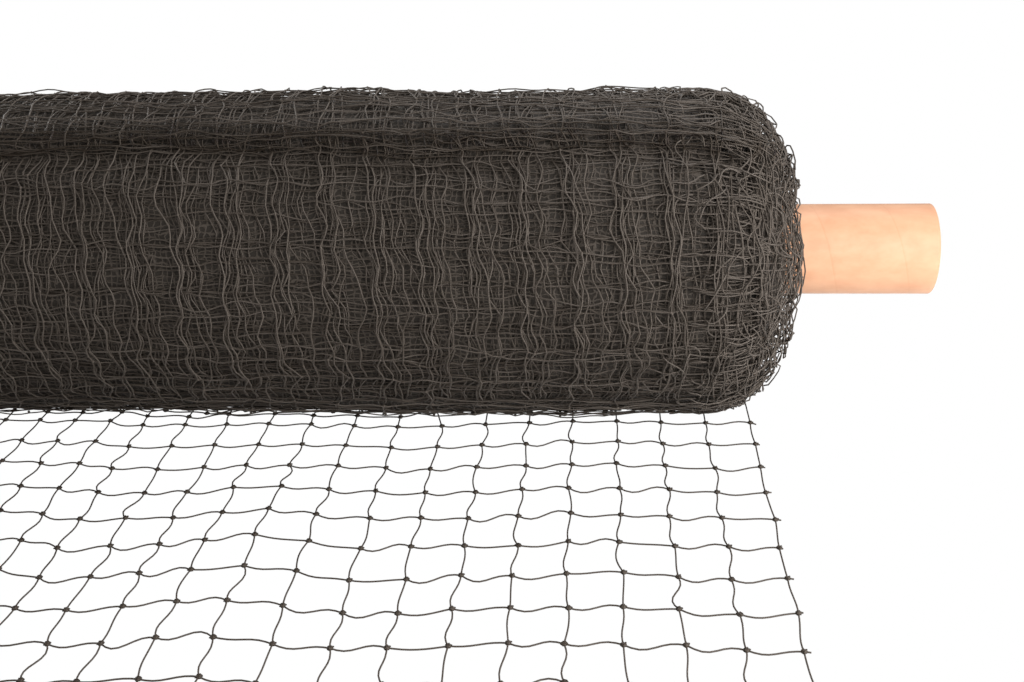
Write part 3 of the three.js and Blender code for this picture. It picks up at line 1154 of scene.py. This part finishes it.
def bars_between(paths, meshes):
    """Each mesh of the rows of points as a twine of its own, from knot to knot"""
    pieces = [paths[:, k * BAR_STEPS:(k + 1) * BAR_STEPS + 1] for k in range(meshes)]
    return np.concatenate(pieces)


def settled(paths):
    """Twine lies on the floor between its knots"""
    t = np.linspace(0, 1, paths.shape[1])
    paths[..., 2] = KNOT_HEIGHT - (KNOT_HEIGHT - TWINE / 2) * np.sin(math.pi * t)
    return paths


def floor_bars():
    """The bars across and along the net. Its two edges were under more pull, so they stray less."""
    across = through(laid, BAR_STEPS)
    across[..., 1] += slack(len(laid), MESHES_ACROSS, BAR_STEPS, *ACROSS_SLACK)
    stray = slack(MESHES_ACROSS + 1, MESHES_ALONG, BAR_STEPS, *DOWN_SLACK)
    stray[[0, -1]] *= EDGE_SHARE
    down = through(laid.transpose(1, 0, 2), BAR_STEPS)
    down[..., 0] += stray
    return settled(bars_between(across, MESHES_ACROSS)), settled(bars_between(down, MESHES_ALONG))


bar_groups = list(floor_bars())
print("bars across and along:", [len(paths) for paths in bar_groups])

# %% Bars next to the roll, and stubs
ROOT_STEPS = 3
SLIPPED_SLACK = ((0.0006, 0.0014), (-0.0010, 0.0010))
STUB_LENGTHS = (0.002, 0.0040)
STUB_SWAY = 0.0008
STUB_DROP = 0.0004


def slipped_bars():
    """Two strands of the slipped row, one on the floor and one that is still propped on the roll"""
    strands = []
    for knots in (slipped, propped):
        strand = through(knots[None], BAR_STEPS)
        strand[..., 1] += slack(1, len(knots) - 1, BAR_STEPS, *SLIPPED_SLACK)
        strands.append(bars_between(off_floor(strand), len(knots) - 1))
    return np.concatenate(strands)


def root_bars():
    """From the first row of knots in under the roll, on the left by way of the slipped row"""
    inner = laid[0] * (1, 0, 1) + (0, ROOT_WAY, 0)
    middle = (laid[0] + inner) / 2
    middle[:SLIPPED_COLUMNS] = slipped
    return through(np.stack([laid[0], middle, inner], axis=1), ROOT_STEPS)


def edge_stubs():
    """Short twine ends that stick out past the knots of both edges"""
    stubs = []
    for column, side in ((0, -1), (MESHES_ACROSS, 1)):
        reach = chance.uniform(*STUB_LENGTHS, len(laid))
        sway = chance.normal(0, STUB_SWAY, len(laid))
        end = laid[:, column] + np.stack([side * reach, sway, np.full(len(laid), -STUB_DROP)], axis=-1)
        stubs.append(np.linspace(laid[:, column], end, 3, axis=1))
    return np.concatenate(stubs)


bar_groups += [slipped_bars(), root_bars(), edge_stubs()]
print("slipped bars, bars to the roll, and stubs:", [len(paths) for paths in bar_groups[2:]])

# %% Knots of the free end
KNOT_SIZE = (0.0020, 0.0018, 0.0012)
KNOT_TONES = (-0.70, -0.40)
BAR_TWINE = 0.0010
BAR_SIDES = 5
BAR_TONES = (-0.25, 0.05)
WRAP_POINTS = 9
WRAP_TURN = 2.6 * math.pi
WRAP_SLANT = (0.7, 0.4)
WRAP_HALF_LENGTH = 0.0009
WRAP_WIDTH = 0.0018
WRAP_HEIGHT = 0.0007
WRAP_LIFT = 0.0002
UP = (0, 0, 1)


def knot_wraps(centres):
    """A twine wound round each knot, at a slant that differs from knot to knot"""
    turn = np.linspace(0, WRAP_TURN, WRAP_POINTS)
    slant = chance.normal(*WRAP_SLANT, (len(centres), 1))
    rise = np.linspace(-WRAP_HALF_LENGTH, WRAP_HALF_LENGTH, WRAP_POINTS)
    x = WRAP_WIDTH * np.cos(turn)
    z = np.broadcast_to(WRAP_HEIGHT * np.sin(turn) + WRAP_LIFT, (len(centres), WRAP_POINTS))
    wraps = [x * np.cos(slant) - rise * np.sin(slant), x * np.sin(slant) + rise * np.cos(slant), z]
    return centres[:, None] + np.stack(wraps, axis=-1)


def laid_bundles():
    bundles = []
    for paths in bar_groups:
        tone = chance.uniform(*BAR_TONES, (len(paths), 1))
        bundles.append(twines(paths, UP, tone, BAR_SIDES, BAR_TWINE, flat_caps=True))
    centres = np.concatenate([laid.reshape(-1, 3), slipped, propped])
    bundles.append(beads(centres, KNOT_SIZE, chance.uniform(*KNOT_TONES, len(centres))))
    wraps = knot_wraps(centres)
    wrap_tone = chance.uniform(*KNOT_TONES, (len(centres), 1))
    bundles.append(twines(wraps, UP, wrap_tone, 4, BAR_TWINE))
    return bundles


loose = net_piece("net_loose", laid_bundles())

# %% [markdown]
# ## The paper tube
#
# The tube is wound from strips of kraft paper. A cylinder with a hole would need a boolean, so its wall
# is a four-sided outline spun round the axis, with the rims softened by a small bevel. A UV map unrolls
# it, with U along the tube and V once round it, because the seam where the strips meet climbs by the
# same length on every lap: U over that length, plus V, is a whole number all along the seam. The two
# cut ends get a finish of their own that shows the layers of paper.

# %% Tube
TUBE_SIDES = 128
RIM = 0.0007
RIM_STEPS = 3


def is_rim(edge):
    """A sharp edge that runs round the tube"""
    level = edge.verts[0].co.x == edge.verts[1].co.x
    return level and abs(edge.calc_face_angle() - math.pi / 2) < 0.1


def tube_piece():
    wall = bmesh.new()
    corners = []
    for x in (tube_low.x, tube_high.x):
        for radius in (TUBE_RADIUS - TUBE_WALL, TUBE_RADIUS):
            corners.append(wall.verts.new((x, -radius, TUBE_AXIS)))
    order = (0, 1, 3, 2)
    edges = [wall.edges.new((corners[order[k]], corners[order[(k + 1) % 4]])) for k in range(4)]
    spun(wall, corners + edges, TUBE_SIDES)
    bmesh.ops.recalc_face_normals(wall, faces=wall.faces)
    rims = [edge for edge in wall.edges if is_rim(edge)]
    bmesh.ops.bevel(
        wall, geom=rims, offset=RIM, segments=RIM_STEPS, profile=0.5, affect="EDGES", material=-1)
    unroll(wall, "paper", lambda vertex, turn: (vertex.co.x, turn / (2 * math.pi)))
    for face in wall.faces:
        face.material_index = 1 if abs(face.normal.x) > 0.9 else 0
    return object_from("paper_tube", wall, [])


tube = tube_piece()

# %% Paper finish
SEAM_CLIMB = 0.047
SEAM_SHARE = 0.035
PAPER_DEEP = (0.440, 0.230, 0.134, 1)
PAPER_PALE = (0.486, 0.272, 0.165, 1)


def seam_mask(tree):
    """1 along the seam, 0 elsewhere"""
    place = tree.nodes.new("ShaderNodeUVMap")
    place.uv_map = "paper"
    split = tree.nodes.new("ShaderNodeSeparateXYZ")
    tree.links.new(place.outputs["UV"], split.inputs["Vector"])
    laps = maths(tree, "MULTIPLY_ADD", split.outputs["X"], 1 / SEAM_CLIMB, split.outputs["Y"])
    return ranged(tree, maths(tree, "FRACT", laps), 0, SEAM_SHARE, 1, 0)


def paper_grain(tree, scale, stretch):
    """The shared grain on the tube, drawn out along it"""
    place = tree.nodes.new("ShaderNodeTexCoord")
    drawn = tree.nodes.new("ShaderNodeMapping")
    drawn.inputs["Scale"].default_value = (1 / stretch, 1, 1)
    tree.links.new(place.outputs["Object"], drawn.inputs["Vector"])
    return grained(tree, drawn.outputs["Vector"], scale)


def paper_material():
    material, tree, shader = new_material("kraft_paper", roughness=0.50, shine=0.18)
    blotch = ranged(tree, paper_grain(tree, 90.0, 1.6), 0.35, 0.65)
    seam = seam_mask(tree)
    lightness = maths(tree, "MULTIPLY_ADD", seam, -0.5, blotch)
    two_colours(tree, shader, lightness, PAPER_DEEP, PAPER_PALE)
    height = maths(tree, "SUBTRACT", paper_grain(tree, 420.0, 5.0), seam)
    relief(tree, shader, height, 0.35, 0.0002)
    return material


tube.data.materials.append(paper_material())
print("made the finish", tube.data.materials[0].name)

# %% Layers on the cut ends
LAYER = 0.0007
LAYERS_DEEP = (0.300, 0.165, 0.098, 1)


def layers_material():
    material, tree, shader = new_material("paper_layers", roughness=0.75, shine=0.25)
    place = tree.nodes.new("ShaderNodeTexCoord")
    centred = tree.nodes.new("ShaderNodeMapping")
    centred.inputs["Location"].default_value = (0, 0, -TUBE_AXIS)
    tree.links.new(place.outputs["Object"], centred.inputs["Vector"])
    rings = tree.nodes.new("ShaderNodeTexWave")
    rings.wave_type = "RINGS"
    rings.rings_direction = "X"
    rings.inputs["Scale"].default_value = 2 * math.pi / (20 * LAYER)
    rings.inputs["Distortion"].default_value = 1.5
    rings.inputs["Detail"].default_value = 2.0
    tree.links.new(centred.outputs["Vector"], rings.inputs["Vector"])
    two_colours(tree, shader, rings.outputs["Fac"], LAYERS_DEEP, PAPER_PALE)
    relief(tree, shader, rings.outputs["Fac"], 0.4, 0.0002)
    return material


tube.data.materials.append(layers_material())
print("made the finish", tube.data.materials[1].name)

# %% [markdown]
# ## Tie the pieces to the model
#
# Every piece is tied to the imported model: it rides on its one body, and the imported node that it
# replaces is hidden. The free end is a sheet of open net, so its twines cover only part of its flat
# size.

# %% Ride and hide the imported parts
net_pieces = turn_pieces + end_pieces + [heart]
for piece in net_pieces + [loose, tube]:
    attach(piece, BODY)
for piece in net_pieces:
    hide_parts("wound_net")
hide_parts("loose_net")
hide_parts("core_tube")
